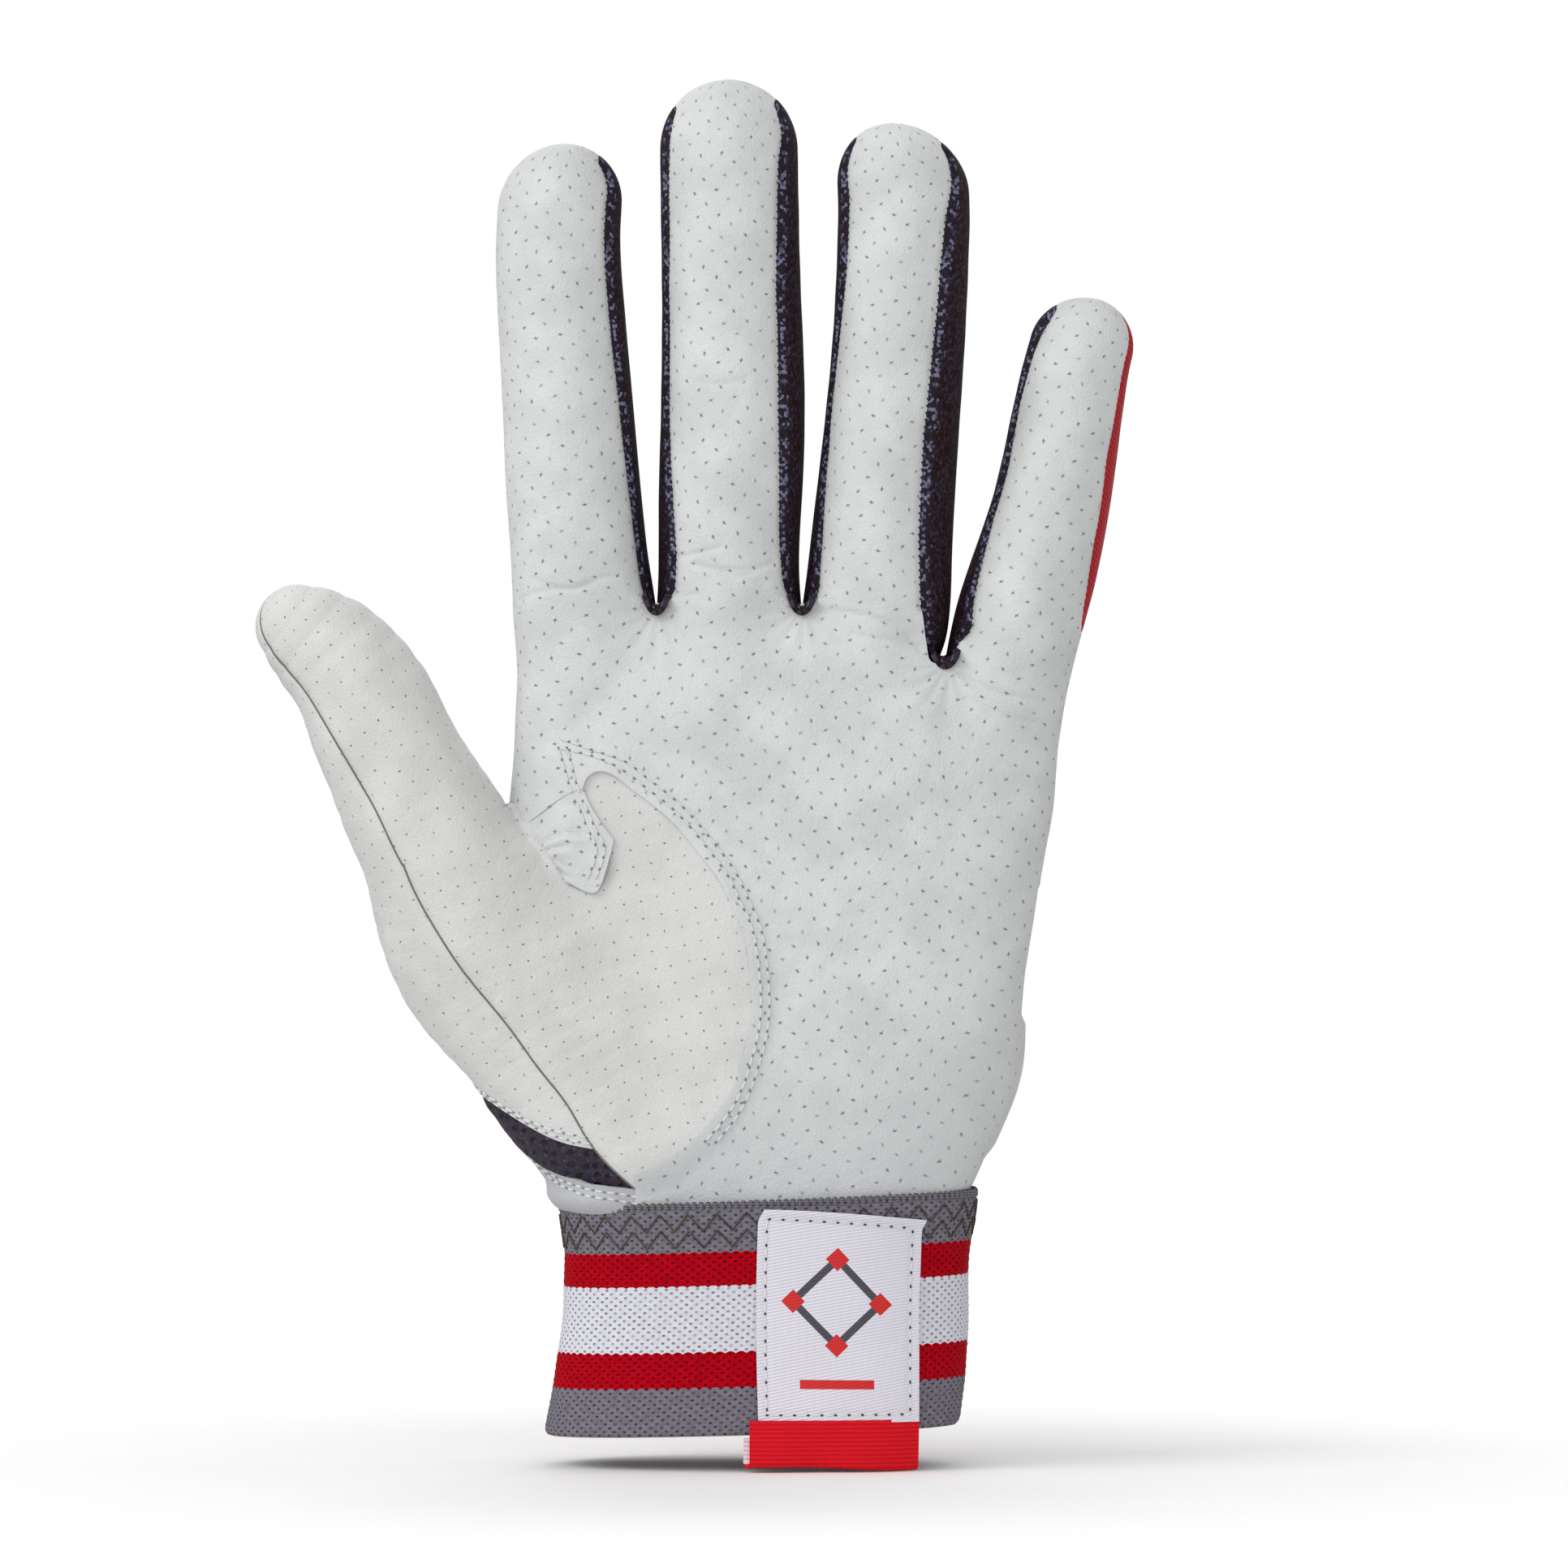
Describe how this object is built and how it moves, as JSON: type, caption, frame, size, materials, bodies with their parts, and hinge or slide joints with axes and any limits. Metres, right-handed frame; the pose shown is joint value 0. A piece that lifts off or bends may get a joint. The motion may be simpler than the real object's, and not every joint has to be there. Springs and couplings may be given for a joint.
{
  "type": "batting glove",
  "caption": "Left-hand batting glove: perforated leather palm and finger fronts, knit side strips, thumb gusset, back wrist strap, striped elastic cuff with label and pull loop.",
  "frame": {"origin": "centre of the wrist opening, in the plane of the cuff's lower rim", "axes": "+Z from the wrist to the fingertips, +Y from the palm to the back of the hand, +X from the thumb side to the little-finger side"},
  "size_m": [0.1417, 0.0393, 0.224],
  "materials": {
    "white_leather": "soft perforated sheepskin, matt",
    "side_knit": "matt stretch knit",
    "red_knit": "ribbed stretch knit",
    "dark_mesh": "perforated stretch mesh",
    "cuff_webbing": "knitted elastic webbing with red and white bands",
    "label_satin": "woven satin",
    "red_ribbon": "woven ribbon",
    "tape_nylon": "hook and loop tape"
  },
  "bodies": {
    "hand": {"palm_panel": "white_leather", "thenar_panel": "white_leather", "thumb_web_gusset": "white_leather", "thumb_base_back": "white_leather", "back_panel": "red_knit", "wrist_mesh_thumb_side": "dark_mesh", "wrist_band_thumb_side": "white_leather", "wrist_mesh_little_side": "dark_mesh", "wrist_band_little_side": "white_leather", "finger_web_index_middle": "side_knit", "finger_web_middle_ring": "side_knit", "finger_web_ring_little": "side_knit", "elastic_cuff": "cuff_webbing", "woven_label": "label_satin", "loop_patch": "tape_nylon"},
    "index_base": {"index_base_front": "white_leather", "index_base_back": "red_knit", "index_base_little_side": "side_knit"},
    "index_end": {"index_end_front": "white_leather", "index_end_back": "red_knit", "index_end_little_side": "side_knit"},
    "middle_base": {"middle_base_front": "white_leather", "middle_base_back": "red_knit", "middle_base_little_side": "side_knit", "middle_base_thumb_side": "side_knit"},
    "middle_end": {"middle_end_front": "white_leather", "middle_end_back": "red_knit", "middle_end_little_side": "side_knit", "middle_end_thumb_side": "side_knit"},
    "ring_base": {"ring_base_front": "white_leather", "ring_base_back": "red_knit", "ring_base_little_side": "side_knit", "ring_base_thumb_side": "side_knit"},
    "ring_end": {"ring_end_front": "white_leather", "ring_end_back": "red_knit", "ring_end_little_side": "side_knit", "ring_end_thumb_side": "side_knit"},
    "little_base": {"little_base_front": "white_leather", "little_base_back": "red_knit", "little_base_thumb_side": "side_knit"},
    "little_end": {"little_end_front": "white_leather", "little_end_back": "red_knit", "little_end_thumb_side": "side_knit"},
    "thumb": {"thumb_front": "white_leather", "thumb_back": "white_leather"},
    "closure_strap": {"closure_tab": "white_leather", "hook_patch": "tape_nylon"},
    "pull_loop": {"pull_loop": "red_ribbon"}
  },
  "joints": [
    {"name": "index_knuckle", "type": "hinge", "parent": "hand", "child": "index_base", "pos_m": [-0.02945, -0.0125, 0.1332], "axis": [0.9974, 0, 0.0715], "range_deg": [0, 85]},
    {"name": "index_middle_joint", "type": "hinge", "parent": "index_base", "child": "index_end", "pos_m": [-0.03202, -0.01098, 0.16911], "axis": [0.9974, 0, 0.0715], "range_deg": [0, 95]},
    {"name": "middle_knuckle", "type": "hinge", "parent": "hand", "child": "middle_base", "pos_m": [-0.0058, -0.0125, 0.1332], "axis": [1, 0, 0], "range_deg": [0, 85]},
    {"name": "middle_middle_joint", "type": "hinge", "parent": "middle_base", "child": "middle_end", "pos_m": [-0.0058, -0.01115, 0.1732], "axis": [1, 0, 0], "range_deg": [0, 95]},
    {"name": "ring_knuckle", "type": "hinge", "parent": "hand", "child": "ring_base", "pos_m": [0.0181, -0.0125, 0.1332], "axis": [0.9978, 0, -0.0663], "range_deg": [0, 85]},
    {"name": "ring_middle_joint", "type": "hinge", "parent": "ring_base", "child": "ring_end", "pos_m": [0.02055, -0.011, 0.17012], "axis": [0.9978, 0, -0.0663], "range_deg": [0, 95]},
    {"name": "little_knuckle", "type": "hinge", "parent": "hand", "child": "little_base", "pos_m": [0.0408, -0.0115, 0.1246], "axis": [0.9759, 0, -0.2181], "range_deg": [0, 85]},
    {"name": "little_middle_joint", "type": "hinge", "parent": "little_base", "child": "little_end", "pos_m": [0.04713, -0.00995, 0.1529], "axis": [0.9759, 0, -0.2181], "range_deg": [0, 95]},
    {"name": "thumb_knuckle", "type": "hinge", "parent": "hand", "child": "thumb", "pos_m": [-0.05277, -0.0163, 0.09485], "axis": [0.8572, 0, 0.515], "range_deg": [0, 55]},
    {"name": "strap_peel", "type": "hinge", "parent": "hand", "child": "closure_strap", "pos_m": [-0.024, 0.0169, 0.055], "axis": [0, 0, 1], "range_deg": [0, 150]},
    {"name": "loop_flap", "type": "hinge", "parent": "hand", "child": "pull_loop", "pos_m": [0.0168, -0.0187, 0.0019], "axis": [-0.984, -0.178, 0], "range_deg": [0, 90]}
  ]
}
